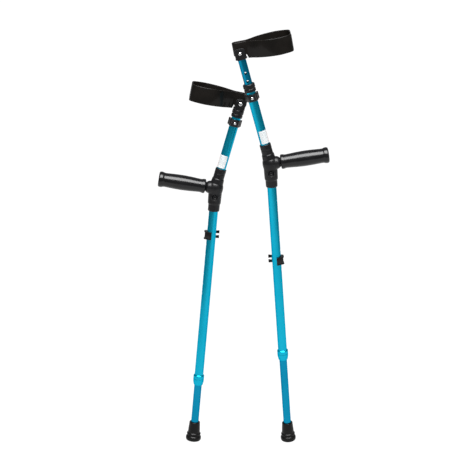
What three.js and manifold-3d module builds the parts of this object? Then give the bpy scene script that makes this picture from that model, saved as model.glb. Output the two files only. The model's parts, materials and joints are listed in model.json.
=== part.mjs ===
// A pair of forearm crutches. Millimetres, +Z up.
// Each crutch is built in its own frame: origin at the bend of its outer tube, +Z up the lower
// tube, +X towards the hand grip, Y across the crutch.
import * as THREE from 'three';
import { mergeVertices } from 'three/addons/utils/BufferGeometryUtils.js';
import Module from 'manifold-3d';

const wasm = await Module();
wasm.setup();

const SEGMENTS = 12;
const FINE_SEGMENTS = 16;
const HOLE_SEGMENTS = 6;
const PIN_SEGMENTS = 10;
const GAP = 0.3;

// Tubes: 7/8 inch outside, 3/4 inch sliding inside. The leg's pin holes are one inch apart.
const OUTER_R = 11.1;
const OUTER_BORE = 9.8;
const INNER_R = 9.525;
const INNER_BORE = 8.1;
const PITCH = 25.4;
const FOREARM_PITCH = 20;
const HOLE_R = 3.3;
const PIN_R = 2.6;
const BEND = THREE.MathUtils.degToRad(11.1);
const BEND_LAP = 2;

// Lower end of the outer tube.
const OUTER_BOTTOM = -515;
const OUTER_TOP = 196;
const SWAGE_R = 13.5;
const SWAGE_POCKET_R = 12.2;
const SWAGE_HEIGHT = 30;

// Rows of pin holes.
const OUTER_HOLE_FIRST = 94.6;
const OUTER_HOLE_COUNT = 8;
const LEG_TUBE_LENGTH = 597;
const LEG_HOLE_FIRST = 9.4;
const LEG_HOLE_COUNT = 10;
const FOREARM_HOLE_COUNT = 5;
const FOREARM_HOLE_TOP = 32.9;
const FOREARM_TUBE_LENGTH = 172;

// Settings: how far the leg and the forearm section are drawn out.
const LEFT_LEG_REACH = 667.4;
const LEFT_CUFF_REACH = 217;
const LEG_STEPS_BETWEEN = 3;
const CUFF_STEPS_BETWEEN = 3;
const LEFT_CLIP_HOLE = 1;
const RIGHT_CLIP_HOLE = 6;

// Rubber tip.
const TIP_HEIGHT = 50;
const TIP_FLOOR = 9;
const TIP_DISC = 1;
const TIP_BASE_R = 19.6;

// Forearm collar and clip, measured up the forearm tube from the bend.
const COLLAR_LOW = 182;
const COLLAR_HIGH = 201;
const COLLAR_R = 14.25;
const COLLET_R = 12;
const FOREARM_CLIP_AT = 168.5;
const FOREARM_CLIP_HEIGHT = 17;
const LEG_CLIP_HEIGHT = 19;
const CLIP_ARM = 2.7;
const CLIP_PAD = 5.2;
const LEG_CLIP_REACH = 19.5;
const FOREARM_CLIP_REACH = 9;

// Handle bracket and grip.
const BRACKET_BORE = OUTER_R + GAP;
const HUB_R = 18.8;
const SLEEVE_R = 16.4;
const LOWER_SLEEVE_LOW = -58;
const LOWER_COLLAR_TOP = -40;
const UPPER_SLEEVE_HIGH = 50;
const UPPER_LEDGE = 24.5;
const BARREL_R = 11.6;
const BALL_R = 14.2;
const BALL_AT = 17;
const GRIP_START = 25;
const GRIP_LENGTH = 116;
const GRIP_TILT = THREE.MathUtils.degToRad(4.2);
const ROD_R = 6;
const ROD_START = 12.5;
const ROD_LENGTH = 118;
const PLUG_R = 9.6;
const PLUG_DEPTH = 3.2;
const CROSS_BOLT_Z = -21;
const CROSS_BOLT_R = 4.8;
const CROSS_RECESS_R = 7;

// Cuff and its pivot.
const CUFF_PITCH = THREE.MathUtils.degToRad(4.5);
const CUFF_THICKNESS = 3.2;
const CUFF_LOW = -14;
const CUFF_HIGH = 26;
const CUFF_NOTCH = -5.6;
const CUFF_NOTCH_FRONT = 18.6;
const CUFF_NECK = 8;
const CUFF_WIDTH = 88;
const CUFF_FRONT = 124;
const CUFF_REAR = -15;
const CUFF_MOUTH = 32;
const REAR_STEPS = 4;
const FLANK_STEPS = 13;
const EAR_GAP = 9.9;
const EAR_THICKNESS = 4.3;
const EAR_WIDTH = 26;
const EAR_TOP = 11.5;
const KNUCKLE_TOP = -12.3;
const KNUCKLE_FLANGE = 3;
const KNUCKLE_STEM = 30;
const BOSS_R = 9.5;
const BOSS_HEIGHT = 1.5;
const PIVOT_R = 2.9;
const PIVOT_HEAD_R = 5;
const PIVOT_NUT_R = 3.3;

// Label on the forearm section.
const LABEL_LOW = 53;
const LABEL_HIGH = 85;
const LABEL_SPAN = THREE.MathUtils.degToRad(116);
const LABEL_TURN = THREE.MathUtils.degToRad(22);

// Stance: where each tip stands and how each crutch leans.
const LEFT_TIP_X = -122.7;
const LEFT_TIP_Y = 49.6;
const LEFT_LEAN = THREE.MathUtils.degToRad(-2);
const LEFT_ROLL = THREE.MathUtils.degToRad(5.2);
const LEFT_TURN = THREE.MathUtils.degToRad(181);
const RIGHT_TIP_X = 122.8;
const RIGHT_TIP_Y = 50.4;
const RIGHT_LEAN = THREE.MathUtils.degToRad(3);
const RIGHT_ROLL = THREE.MathUtils.degToRad(4.1);
const RIGHT_TURN = THREE.MathUtils.degToRad(1.5);

const MATERIALS = {
  anodised: { color: 0x128fb4, roughness: 0.3, metalness: 0.7 },
  moulded: { color: 0x1c1c1d, roughness: 0.55, metalness: 0 },
  gripPlastic: { color: 0x19191b, roughness: 0.22, metalness: 0 },
  vinyl: { color: 0x1b1918, roughness: 0.45, metalness: 0 },
  rubber: { color: 0x161616, roughness: 0.7, metalness: 0 },
  nylon: { color: 0x2a2a2a, roughness: 0.6, metalness: 0 },
  steel: { color: 0xc4c7ca, roughness: 0.25, metalness: 1 },
  paper: { color: 0xe9edef, roughness: 0.6, metalness: 0 },
};

const materials = {};
for (const [name, settings] of Object.entries(MATERIALS)) {
  materials[name] = new THREE.MeshStandardMaterial({ name, ...settings });
}

// A three geometry as a manifold solid.
function solid(geometry) {
  const plain = geometry.clone();
  for (const name of ['normal', 'uv']) {
    plain.deleteAttribute(name);
  }
  const merged = mergeVertices(plain, 1e-5);
  const index = merged.index.array;
  const kept = [];
  for (let i = 0; i < index.length; i += 3) {
    const [a, b, c] = [index[i], index[i + 1], index[i + 2]];
    if (a !== b && b !== c && c !== a) {
      kept.push(a, b, c);
    }
  }
  return new wasm.Manifold(new wasm.Mesh({
    numProp: 3,
    vertProperties: new Float32Array(merged.attributes.position.array),
    triVerts: new Uint32Array(kept),
  }));
}

// A manifold solid as a named mesh.
function part(name, body, material) {
  const { vertProperties, triVerts } = body.getMesh();
  const geometry = new THREE.BufferGeometry();
  geometry.setAttribute('position', new THREE.BufferAttribute(vertProperties, 3));
  geometry.setIndex(new THREE.BufferAttribute(triVerts, 1));
  geometry.computeVertexNormals();
  const mesh = new THREE.Mesh(geometry, material);
  mesh.name = name;
  return mesh;
}

// A solid turned about Z from [radius, height] pairs, each profile closed on itself or on the axis.
function turned(profile, segments = SEGMENTS) {
  const points = profile.map(([r, z]) => new THREE.Vector2(r, z));
  const geometry = new THREE.LatheGeometry(points, segments);
  geometry.rotateX(Math.PI / 2);
  const body = solid(geometry);
  return body.volume() < 0 ? solid(flipped(geometry)) : body;
}

function flipped(geometry) {
  const copy = geometry.clone();
  copy.index.array.reverse();
  return copy;
}

function rod(radius, low, high, segments = SEGMENTS) {
  return turned([[0, low], [radius, low], [radius, high], [0, high]], segments);
}

function ring(inner, outer, low, high, segments = SEGMENTS) {
  return turned([[inner, low], [outer, low], [outer, high], [inner, high], [inner, low]], segments);
}

function ball(radius) {
  return solid(new THREE.SphereGeometry(radius, FINE_SEGMENTS, FINE_SEGMENTS / 2));
}

function block(sizeX, sizeY, sizeZ) {
  return solid(new THREE.BoxGeometry(sizeX, sizeY, sizeZ));
}

// A flat outline pulled up Z.
function pulled(shape, low, high, curveSegments = 6) {
  const geometry = new THREE.ExtrudeGeometry(shape, {
    depth: high - low,
    bevelEnabled: false,
    curveSegments,
  });
  geometry.translate(0, 0, low);
  return solid(geometry);
}

// Degrees about X, Y, Z, then a shift.
function placed(body, rotation, shift = [0, 0, 0]) {
  return body.rotate(rotation).translate(shift);
}

const degrees = THREE.MathUtils.radToDeg;

// Turned pieces laid over: along the forearm tube, along the grip, or across the crutch.
const alongForearm = (body) => placed(body, [0, -degrees(BEND), 0]);
const alongGrip = (body) => placed(body, [0, 90 - degrees(GRIP_TILT), 0]);
const alongX = (body) => placed(body, [0, 90, 0]);
const alongY = (body, side) => placed(body, [side > 0 ? -90 : 90, 0, 0]);

function outerTubeBody() {
  const swageLow = OUTER_BOTTOM;
  const swageHigh = OUTER_BOTTOM + SWAGE_HEIGHT;
  const swage = turned([
    [0, swageLow],
    [11.4, swageLow],
    [SWAGE_R, swageLow + 9],
    [SWAGE_R, swageHigh - 5],
    [OUTER_R, swageHigh],
    [0, swageHigh],
  ], FINE_SEGMENTS);
  const pocket = turned([
    [0, swageLow + 2],
    [10.5, swageLow + 2],
    [SWAGE_POCKET_R, swageLow + 9],
    [SWAGE_POCKET_R, swageHigh - 6],
    [OUTER_BORE, swageHigh - 2],
    [0, swageHigh - 2],
  ], FINE_SEGMENTS);
  let body = rod(OUTER_R, OUTER_BOTTOM + 1, BEND_LAP, FINE_SEGMENTS)
    .add(alongForearm(rod(OUTER_R, -BEND_LAP, OUTER_TOP, FINE_SEGMENTS)))
    .add(ball(OUTER_R))
    .add(swage)
    .subtract(rod(OUTER_BORE, OUTER_BOTTOM - 1, BEND_LAP, FINE_SEGMENTS))
    .subtract(alongForearm(rod(OUTER_BORE, -BEND_LAP, OUTER_TOP + 1, FINE_SEGMENTS)))
    .subtract(ball(OUTER_BORE))
    .subtract(pocket);
  for (let i = 0; i < OUTER_HOLE_COUNT; i += 1) {
    const z = -OUTER_HOLE_FIRST - i * PITCH;
    body = body.subtract(alongX(rod(HOLE_R, 0, 2 * OUTER_R, HOLE_SEGMENTS)).translate([0, 0, z]));
  }
  return body;
}

function forearmPinHole(side) {
  const hole = alongY(rod(HOLE_R, 0, 2 * OUTER_R, HOLE_SEGMENTS), side);
  return alongForearm(hole.translate([0, 0, FOREARM_CLIP_AT]));
}

// Tube with one end at z = 0 and the other below it.
function slidingTube(length, holes) {
  let body = ring(INNER_BORE, INNER_R, -length, 0, FINE_SEGMENTS);
  for (const hole of holes) {
    body = body.subtract(hole);
  }
  return body;
}

function legHoles() {
  const holes = [];
  for (let i = 0; i < LEG_HOLE_COUNT; i += 1) {
    const hole = alongX(rod(HOLE_R, 0, 2 * INNER_R, HOLE_SEGMENTS));
    holes.push(hole.translate([0, 0, -LEG_HOLE_FIRST - i * PITCH]));
  }
  return holes;
}

function forearmHoles() {
  const holes = [];
  for (let i = 0; i < FOREARM_HOLE_COUNT; i += 1) {
    const hole = alongY(rod(HOLE_R, -2 * INNER_R, 2 * INNER_R, HOLE_SEGMENTS), 1);
    holes.push(hole.translate([0, 0, -FOREARM_HOLE_TOP - i * FOREARM_PITCH]));
  }
  return holes;
}

function tipBody() {
  return turned([
    [0, 0],
    [15.5, 0],
    [18.6, 1.6],
    [TIP_BASE_R, 4.5],
    [TIP_BASE_R, 10.5],
    [18.4, 13.2],
    [17, 14.6],
    [17.9, 16.4],
    [17.8, 19.6],
    [15.7, 22],
    [15.3, 30],
    [13.7, TIP_HEIGHT - 2],
    [13, TIP_HEIGHT],
    [INNER_R + GAP, TIP_HEIGHT],
    [INNER_R + GAP, TIP_FLOOR],
    [0, TIP_FLOOR],
  ], FINE_SEGMENTS);
}

// U-shaped clip that pushes on from +X, its straight arms at the two sides.
// The side at -Y stops half-way round when shortArm is set.
function clipBody(reach, height, shortArm) {
  const inner = OUTER_R + GAP;
  const outer = inner + CLIP_ARM;
  const outline = new THREE.Shape();
  const nearEnd = shortArm ? 0 : -reach;
  outline.moveTo(-reach, inner);
  outline.lineTo(0, inner);
  outline.absarc(0, 0, inner, Math.PI / 2, -Math.PI / 2, true);
  outline.lineTo(nearEnd, -inner);
  outline.lineTo(nearEnd, -outer);
  outline.lineTo(0, -outer);
  outline.absarc(0, 0, outer, -Math.PI / 2, -Math.PI / 4, false);
  outline.lineTo(inner + CLIP_PAD, -7);
  outline.lineTo(inner + CLIP_PAD, 7);
  outline.absarc(0, 0, outer, Math.PI / 4, Math.PI / 2, false);
  outline.lineTo(-reach, outer);
  return pulled(outline, -height / 2, height / 2);
}

function legClipBody(side) {
  const slot = block(14, 2 * CLIP_ARM + 2, 6).translate([-LEG_CLIP_REACH + 1, OUTER_R + GAP, 0]);
  const prongs = block(3, 5, LEG_CLIP_HEIGHT).translate([-LEG_CLIP_REACH + 1.5, OUTER_R + 3.6, 0]);
  const clip = clipBody(LEG_CLIP_REACH, LEG_CLIP_HEIGHT, true);
  const shell = clip.add(prongs).subtract(slot).subtract(pinSocket());
  return side > 0 ? placed(shell, [180, 0, 0]) : shell;
}

function forearmClipBody(side) {
  const clip = clipBody(FOREARM_CLIP_REACH, FOREARM_CLIP_HEIGHT, false);
  const shell = clip.subtract(alongX(rod(PIN_R + GAP, 0, 30)));
  return placed(shell, [0, 0, side * 90]);
}

function pinSocket() {
  return alongX(rod(PIN_R + GAP, 0, OUTER_R + GAP + CLIP_PAD - 1.2));
}

// A plain pin whose inner end stands at the given radius.
function clipPin(from, to) {
  return alongX(rod(PIN_R, from, to, PIN_SEGMENTS));
}

function headedPin(from, headAt) {
  return clipPin(from, headAt).add(alongX(turned([
    [0, headAt],
    [3.3, headAt],
    [3.3, headAt + 0.8],
    [2, headAt + 1.7],
    [0, headAt + 1.9],
  ], PIN_SEGMENTS)));
}

function collarBody() {
  return turned([
    [OUTER_R + GAP, COLLAR_LOW],
    [13.4, COLLAR_LOW],
    [13.9, COLLAR_LOW + 1],
    [13.9, COLLAR_LOW + 7],
    [13, COLLAR_LOW + 7.7],
    [13, COLLAR_LOW + 9],
    [COLLAR_R, COLLAR_LOW + 9.8],
    [COLLAR_R, COLLAR_HIGH - 1],
    [13.2, COLLAR_HIGH],
    [INNER_R + GAP, COLLAR_HIGH],
    [INNER_R + GAP, COLLAR_HIGH - 1.4],
    [12.4, COLLAR_HIGH - 1.4],
    [12.4, OUTER_TOP - 6],
    [OUTER_R + GAP, OUTER_TOP - 7],
    [OUTER_R + GAP, COLLAR_LOW],
  ], FINE_SEGMENTS);
}

function bracketBody(side) {
  const lower = turned([
    [0, LOWER_SLEEVE_LOW],
    [13.4, LOWER_SLEEVE_LOW],
    [14.3, LOWER_SLEEVE_LOW + 1.5],
    [14.4, LOWER_COLLAR_TOP],
    [15.7, LOWER_COLLAR_TOP + 1.5],
    [SLEEVE_R, -14],
    [HUB_R - 1, -8],
    [HUB_R, -2],
    [HUB_R, 4],
    [HUB_R - 1.3, 9],
    [14, 14.5],
    [0, 18],
  ], FINE_SEGMENTS);
  const upper = turned([
    [0, 0],
    [16.2, 0],
    [16, 11],
    [14.9, UPPER_LEDGE - 1],
    [14.6, UPPER_LEDGE],
    [13.7, UPPER_LEDGE + 0.8],
    [13.7, UPPER_SLEEVE_HIGH - 1.2],
    [13, UPPER_SLEEVE_HIGH],
    [0, UPPER_SLEEVE_HIGH],
  ], FINE_SEGMENTS);
  const barrel = turned([
    [0, 0],
    [BALL_R - 1, BALL_AT - 7],
    [BALL_R, BALL_AT - 1],
    [BALL_R - 0.8, BALL_AT + 3.5],
    [BARREL_R, GRIP_START - 1.5],
    [BARREL_R, GRIP_START - GAP],
    [0, GRIP_START - GAP],
  ]);
  const recess = alongY(rod(CROSS_RECESS_R, SLEEVE_R - 2.8, SLEEVE_R + 4), side);
  const crossHole = alongY(rod(CROSS_BOLT_R + GAP, 0, SLEEVE_R), side);
  const nutHole = alongY(rod(CROSS_BOLT_R + GAP, 0, SLEEVE_R + 4), -side);
  return lower
    .add(alongForearm(upper))
    .add(alongGrip(barrel))
    .subtract(rod(BRACKET_BORE, LOWER_SLEEVE_LOW - 1, BEND_LAP, FINE_SEGMENTS))
    .subtract(alongForearm(rod(BRACKET_BORE, -BEND_LAP, UPPER_SLEEVE_HIGH + 1, FINE_SEGMENTS)))
    .subtract(ball(BRACKET_BORE))
    .subtract(alongGrip(rod(ROD_R + GAP, ROD_START - GAP, GRIP_START + 1)))
    .subtract(recess.translate([0, 0, CROSS_BOLT_Z]))
    .subtract(crossHole.translate([0, 0, CROSS_BOLT_Z]))
    .subtract(nutHole.translate([0, 0, CROSS_BOLT_Z]));
}

// Button head screw or its nut, seated in the bracket's wall beside the tube.
function crossScrew(side, seatedAt) {
  const body = turned([
    [0, OUTER_R + GAP],
    [CROSS_BOLT_R, OUTER_R + GAP],
    [CROSS_BOLT_R, seatedAt - 1],
    [CROSS_BOLT_R - 1.2, seatedAt],
    [2.4, seatedAt],
    [2.4, seatedAt - 1.8],
    [0, seatedAt - 1.8],
  ], 16);
  return alongY(body, side).translate([0, 0, CROSS_BOLT_Z]);
}

function gripBody() {
  const end = GRIP_START + GRIP_LENGTH;
  return turned([
    [0, GRIP_START + 1 + ROD_LENGTH - ROD_START],
    [ROD_R + GAP, GRIP_START + 1 + ROD_LENGTH - ROD_START],
    [ROD_R + GAP, GRIP_START],
    [15.8, GRIP_START],
    [17.6, GRIP_START + 1.6],
    [17.9, GRIP_START + 5.5],
    [16.5, GRIP_START + 10],
    [16.5, GRIP_START + 16],
    [18, GRIP_START + 34],
    [18.7, GRIP_START + 56],
    [18.3, GRIP_START + 78],
    [17.4, GRIP_START + 98],
    [17.6, end - 13],
    [19.3, end - 9],
    [19.3, end - 4.5],
    [17.8, end - 1.2],
    [15.5, end],
    [PLUG_R + GAP, end],
    [PLUG_R + GAP, end - PLUG_DEPTH - GAP],
    [0, end - PLUG_DEPTH - GAP],
  ].reverse(), FINE_SEGMENTS);
}

// The cuff's plan as one closed outline, drawn from its mid-line.
function cuffOutline() {
  const half = CUFF_WIDTH / 2;
  const rearRadius = CUFF_NECK;
  const rearCentre = CUFF_REAR + rearRadius + CUFF_THICKNESS / 2;
  const side = [
    [18, CUFF_NECK],
    [27, CUFF_NECK + 5],
    [44, half - 17],
    [66, half - 6],
    [88, half - 1.6],
    [103, half - 5],
    [CUFF_FRONT - 5, half - 14],
    [CUFF_FRONT - CUFF_THICKNESS / 2, CUFF_MOUTH / 2 + 2],
  ];
  const rear = [];
  for (let i = 0; i <= REAR_STEPS; i += 1) {
    const angle = Math.PI - (i / REAR_STEPS) * (Math.PI / 2);
    rear.push(new THREE.Vector2(
      rearCentre + rearRadius * Math.cos(angle),
      rearRadius * Math.sin(angle),
    ));
  }
  const flank = new THREE.SplineCurve(side.map(([x, y]) => new THREE.Vector2(x, y)));
  const upper = [...rear, ...flank.getPoints(FLANK_STEPS)];
  const mirrored = upper.slice(1).reverse().map((p) => new THREE.Vector2(p.x, -p.y));
  return [...mirrored, ...upper];
}

function cuffBody() {
  const line = cuffOutline();
  const half = CUFF_THICKNESS / 2;
  const left = [];
  const right = [];
  line.forEach((point, i) => {
    const before = line[Math.max(i - 1, 0)];
    const after = line[Math.min(i + 1, line.length - 1)];
    const along = after.clone().sub(before).normalize();
    const across = new THREE.Vector2(-along.y, along.x).multiplyScalar(half);
    left.push(point.clone().add(across));
    right.push(point.clone().sub(across));
  });
  const band = pulled(new THREE.Shape([...left, ...right.reverse()]), CUFF_LOW, CUFF_HIGH);
  const notch = block(60, 60, 20).translate([CUFF_NOTCH_FRONT - 30, 0, CUFF_NOTCH - 10]);
  const boltHole = alongY(rod(PIVOT_R + GAP, -30, 30), 1);
  return band.subtract(notch).subtract(boltHole);
}

function knuckleBody() {
  const bottom = KNUCKLE_TOP - KNUCKLE_FLANGE;
  const stem = rod(INNER_BORE - GAP, bottom - KNUCKLE_STEM, bottom);
  const flange = rod(EAR_GAP + EAR_THICKNESS, bottom, KNUCKLE_TOP, FINE_SEGMENTS);
  const half = EAR_WIDTH / 2;
  const round = 8;
  const outline = new THREE.Shape();
  outline.moveTo(-9, bottom);
  outline.lineTo(9, bottom);
  outline.lineTo(half, bottom + 6);
  outline.lineTo(half, EAR_TOP - round);
  outline.absarc(half - round, EAR_TOP - round, round, 0, Math.PI / 2, false);
  outline.lineTo(-half + round, EAR_TOP);
  outline.absarc(-half + round, EAR_TOP - round, round, Math.PI / 2, Math.PI, false);
  outline.lineTo(-half, bottom + 6);
  let body = stem.add(flange);
  for (const side of [-1, 1]) {
    const ear = placed(pulled(outline, EAR_GAP, EAR_GAP + EAR_THICKNESS, 4), [90, 0, 0]);
    body = body.add(side > 0 ? ear.mirror([0, 1, 0]) : ear);
  }
  const boss = rod(BOSS_R, EAR_GAP + EAR_THICKNESS - 1, EAR_GAP + EAR_THICKNESS + BOSS_HEIGHT);
  const seat = rod(PIVOT_HEAD_R + 0.6, EAR_GAP + EAR_THICKNESS, EAR_GAP + EAR_THICKNESS + 5);
  return body
    .add(alongY(boss, 1))
    .subtract(alongY(seat, 1))
    .subtract(alongY(rod(PIVOT_R + GAP, -30, 30), 1));
}

function pivotBolt() {
  const seat = EAR_GAP + EAR_THICKNESS + GAP;
  const end = EAR_GAP + EAR_THICKNESS + 1;
  return alongY(turned([
    [0, -end],
    [PIVOT_R - 0.9, -end],
    [PIVOT_R - 0.9, -EAR_GAP - 1],
    [PIVOT_R, -EAR_GAP],
    [PIVOT_R, seat],
    [PIVOT_HEAD_R, seat],
    [PIVOT_HEAD_R, seat + 1],
    [3.2, seat + 2.2],
    [0, seat + 2.4],
  ], 16), 1);
}

function pivotNut() {
  const seat = EAR_GAP + EAR_THICKNESS + GAP;
  return alongY(turned([
    [PIVOT_R - 0.6, seat],
    [PIVOT_NUT_R + 0.5, seat],
    [PIVOT_NUT_R + 0.5, seat + 1],
    [PIVOT_NUT_R - 0.7, seat + 2],
    [0, seat + 2.2],
    [0, seat + 1],
    [PIVOT_R - 0.6, seat + 1],
    [PIVOT_R - 0.6, seat],
  ], 16), -1);
}

function labelBody(side) {
  const inner = OUTER_R + 0.2;
  const outer = OUTER_R + 0.45;
  const middle = side * (Math.PI / 2) - side * LABEL_TURN;
  const outline = new THREE.Shape();
  outline.absarc(0, 0, outer, middle - LABEL_SPAN / 2, middle + LABEL_SPAN / 2, false);
  outline.absarc(0, 0, inner, middle + LABEL_SPAN / 2, middle - LABEL_SPAN / 2, true);
  return pulled(outline, LABEL_LOW, LABEL_HIGH, 12);
}

// One crutch. side is the Y side that its clip pin heads and label face.
function crutch(name, { side, legReach, cuffReach, clipHole }) {
  const group = new THREE.Group();
  group.name = `${name}_crutch`;
  const forearm = new THREE.Group();
  forearm.name = `${name}_forearm_frame`;
  forearm.rotation.y = -BEND;
  const cuffFrame = new THREE.Group();
  cuffFrame.name = `${name}_pivot_frame`;
  cuffFrame.position.z = cuffReach;
  const legFrame = new THREE.Group();
  legFrame.name = `${name}_leg_frame`;
  legFrame.position.z = -legReach;

  const add = (parent, node, body, material) => {
    const mesh = part(`${name}_${node}`, body, materials[material]);
    parent.add(mesh);
    return mesh;
  };

  add(group, 'outer_tube', outerTubeBody().subtract(forearmPinHole(side)), 'anodised');
  const bushLow = OUTER_BOTTOM + 10;
  const bushHigh = OUTER_BOTTOM + SWAGE_HEIGHT - 6.5;
  const bush = ring(OUTER_BORE, SWAGE_POCKET_R - GAP, bushLow, bushHigh, FINE_SEGMENTS);
  add(group, 'leg_bush', bush, 'nylon');
  add(group, 'bracket', bracketBody(side), 'moulded');
  add(group, 'bracket_screw', crossScrew(side, SLEEVE_R - 1.4), 'moulded');
  add(group, 'bracket_nut', crossScrew(-side, SLEEVE_R - 0.4), 'moulded');
  add(group, 'grip_rod', alongGrip(rod(ROD_R, ROD_START, ROD_LENGTH + ROD_START)), 'steel');
  add(group, 'grip', alongGrip(gripBody()), 'gripPlastic');
  const plugLow = GRIP_START + GRIP_LENGTH - PLUG_DEPTH;
  add(group, 'grip_plug', alongGrip(rod(PLUG_R, plugLow, plugLow + PLUG_DEPTH - 0.4)), 'moulded');

  const legClip = add(group, 'leg_clip', legClipBody(side), 'moulded');
  legClip.position.z = -OUTER_HOLE_FIRST - clipHole * PITCH;
  const pinTip = INNER_BORE - 2;
  const pinHead = OUTER_R + CLIP_PAD - 1.2;
  const legPin = add(group, 'leg_pin', clipPin(pinTip, pinHead), 'steel');
  legPin.position.z = legClip.position.z;

  add(forearm, 'forearm_collar', collarBody(), 'moulded');
  const colletLow = OUTER_TOP + GAP;
  const colletHigh = COLLAR_HIGH - 1.4 - GAP;
  const collet = ring(OUTER_BORE, COLLET_R, colletLow, colletHigh, FINE_SEGMENTS);
  add(forearm, 'forearm_collet', collet, 'nylon');
  const forearmClip = add(forearm, 'forearm_clip', forearmClipBody(side), 'moulded');
  forearmClip.position.z = FOREARM_CLIP_AT;
  const headSeat = OUTER_R + GAP + CLIP_PAD + GAP;
  const shortPin = placed(headedPin(OUTER_BORE + 0.1, headSeat), [0, 0, side * 90]);
  const forearmPin = add(forearm, 'forearm_pin', shortPin, 'steel');
  forearmPin.position.z = FOREARM_CLIP_AT;
  add(forearm, 'label', labelBody(side), 'paper');

  add(legFrame, 'tip', tipBody(), 'rubber');
  const discLow = TIP_FLOOR + GAP;
  add(legFrame, 'tip_disc', rod(INNER_R - 0.2, discLow, discLow + TIP_DISC), 'steel');
  const legTube = add(legFrame, 'leg_tube', slidingTube(LEG_TUBE_LENGTH, legHoles()), 'anodised');
  legTube.position.z = discLow + TIP_DISC + GAP + LEG_TUBE_LENGTH;

  add(cuffFrame, 'knuckle', knuckleBody(), 'moulded');
  const tube = slidingTube(FOREARM_TUBE_LENGTH, forearmHoles());
  const forearmTube = add(cuffFrame, 'forearm_tube', tube, 'anodised');
  forearmTube.position.z = KNUCKLE_TOP - KNUCKLE_FLANGE - GAP;
  add(cuffFrame, 'pivot_bolt', pivotBolt(), 'steel');
  add(cuffFrame, 'pivot_nut', pivotNut(), 'steel');
  const spacer = ring(PIVOT_R + GAP, 6, -CUFF_NECK + 2, CUFF_NECK - 2);
  add(cuffFrame, 'pivot_spacer', alongY(spacer, 1), 'nylon');
  const cuff = add(cuffFrame, 'cuff', cuffBody(), 'vinyl');
  cuff.rotation.y = CUFF_PITCH;

  forearm.add(cuffFrame);
  group.add(forearm, legFrame);
  return group;
}

// Stands a crutch on its tip at a floor point, leaning and rolled, its lowest edge at z = 0.
function standing(body, legReach, { x, y, lean, roll, turn }) {
  const stance = new THREE.Group();
  stance.name = `${body.name}_stance`;
  body.position.z = legReach;
  stance.add(body);
  stance.rotation.set(lean, roll, turn, 'XYZ');
  stance.position.set(x, y, 0);
  stance.updateMatrixWorld(true);
  stance.position.z -= new THREE.Box3().setFromObject(stance, true).min.z;
  return stance;
}

const rightLegReach = LEFT_LEG_REACH + LEG_STEPS_BETWEEN * PITCH;
const left = crutch('left', {
  side: 1,
  legReach: LEFT_LEG_REACH,
  cuffReach: LEFT_CUFF_REACH,
  clipHole: LEFT_CLIP_HOLE,
});
const right = crutch('right', {
  side: -1,
  legReach: rightLegReach,
  cuffReach: LEFT_CUFF_REACH + CUFF_STEPS_BETWEEN * FOREARM_PITCH,
  clipHole: RIGHT_CLIP_HOLE,
});

const pair = new THREE.Group();
pair.name = 'forearm_crutch_pair';
pair.add(standing(left, LEFT_LEG_REACH, {
  x: LEFT_TIP_X,
  y: LEFT_TIP_Y,
  lean: LEFT_LEAN,
  roll: LEFT_ROLL,
  turn: LEFT_TURN,
}));
pair.add(standing(right, rightLegReach, {
  x: RIGHT_TIP_X,
  y: RIGHT_TIP_Y,
  lean: RIGHT_LEAN,
  roll: -RIGHT_ROLL,
  turn: RIGHT_TURN,
}));

// Centre the pair over the origin.
pair.updateMatrixWorld(true);
const box = new THREE.Box3().setFromObject(pair, true);
pair.position.x = -(box.min.x + box.max.x) / 2;
pair.position.y = -(box.min.y + box.max.y) / 2;

export default pair;
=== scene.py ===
"""A pair of forearm crutches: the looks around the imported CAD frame."""

import json
import math

import bmesh
import bpy
from mathutils import Matrix, Vector


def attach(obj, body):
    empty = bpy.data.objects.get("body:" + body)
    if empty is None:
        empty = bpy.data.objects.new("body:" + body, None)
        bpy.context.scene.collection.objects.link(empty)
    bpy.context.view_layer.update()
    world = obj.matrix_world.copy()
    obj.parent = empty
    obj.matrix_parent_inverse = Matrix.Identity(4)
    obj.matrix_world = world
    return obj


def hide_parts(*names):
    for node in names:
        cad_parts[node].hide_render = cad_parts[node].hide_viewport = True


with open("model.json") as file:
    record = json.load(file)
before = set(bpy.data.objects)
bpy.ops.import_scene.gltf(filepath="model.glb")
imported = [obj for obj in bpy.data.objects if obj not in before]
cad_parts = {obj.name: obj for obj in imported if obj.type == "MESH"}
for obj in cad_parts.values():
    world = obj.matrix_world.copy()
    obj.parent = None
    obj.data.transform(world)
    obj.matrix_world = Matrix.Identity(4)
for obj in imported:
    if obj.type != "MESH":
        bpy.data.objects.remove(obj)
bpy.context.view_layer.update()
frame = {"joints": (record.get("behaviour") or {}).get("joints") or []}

JOINTS = {j["name"]: j for j in frame["joints"]}
MM = 0.001

# Dimensions in millimetres, the same as the frame's.
OUTER_R, OUTER_BORE = 11.1, 9.8
INNER_R, INNER_BORE = 9.525, 8.1
GAP = 0.3
OUTER_BOTTOM, OUTER_TOP = -515, 196
SWAGE_HEIGHT, SWAGE_R, SWAGE_POCKET_R = 30, 13.6, 12.2
LEG_PITCH, FOREARM_PITCH = 25.4, 20
OUTER_HOLE_FIRST, OUTER_HOLE_COUNT = 94.6, 8
LEG_TUBE_LENGTH, LEG_HOLE_FIRST, LEG_HOLE_COUNT = 597, 9.4, 10
FOREARM_TUBE_LENGTH, FOREARM_HOLE_FIRST, FOREARM_HOLE_COUNT = 172, 32.9, 5
HOLE_R, PIN_R = 3.3, 2.6
CLIP_HOLE_R = PIN_R + GAP
FOREARM_CLIP_AT, FOREARM_CLIP_HEIGHT, LEG_CLIP_HEIGHT = 168.5, 17, 19
COLLAR_LOW, COLLAR_HIGH, COLLAR_RIBS = 182, 201, 24
BRACKET_BORE, BRACKET_SCREW_AT = 11.4, -21
GRIP_START, GRIP_LENGTH, GRIP_TILT = 25, 116, math.radians(4.2)
GRIP_BORE = 6.3
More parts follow.
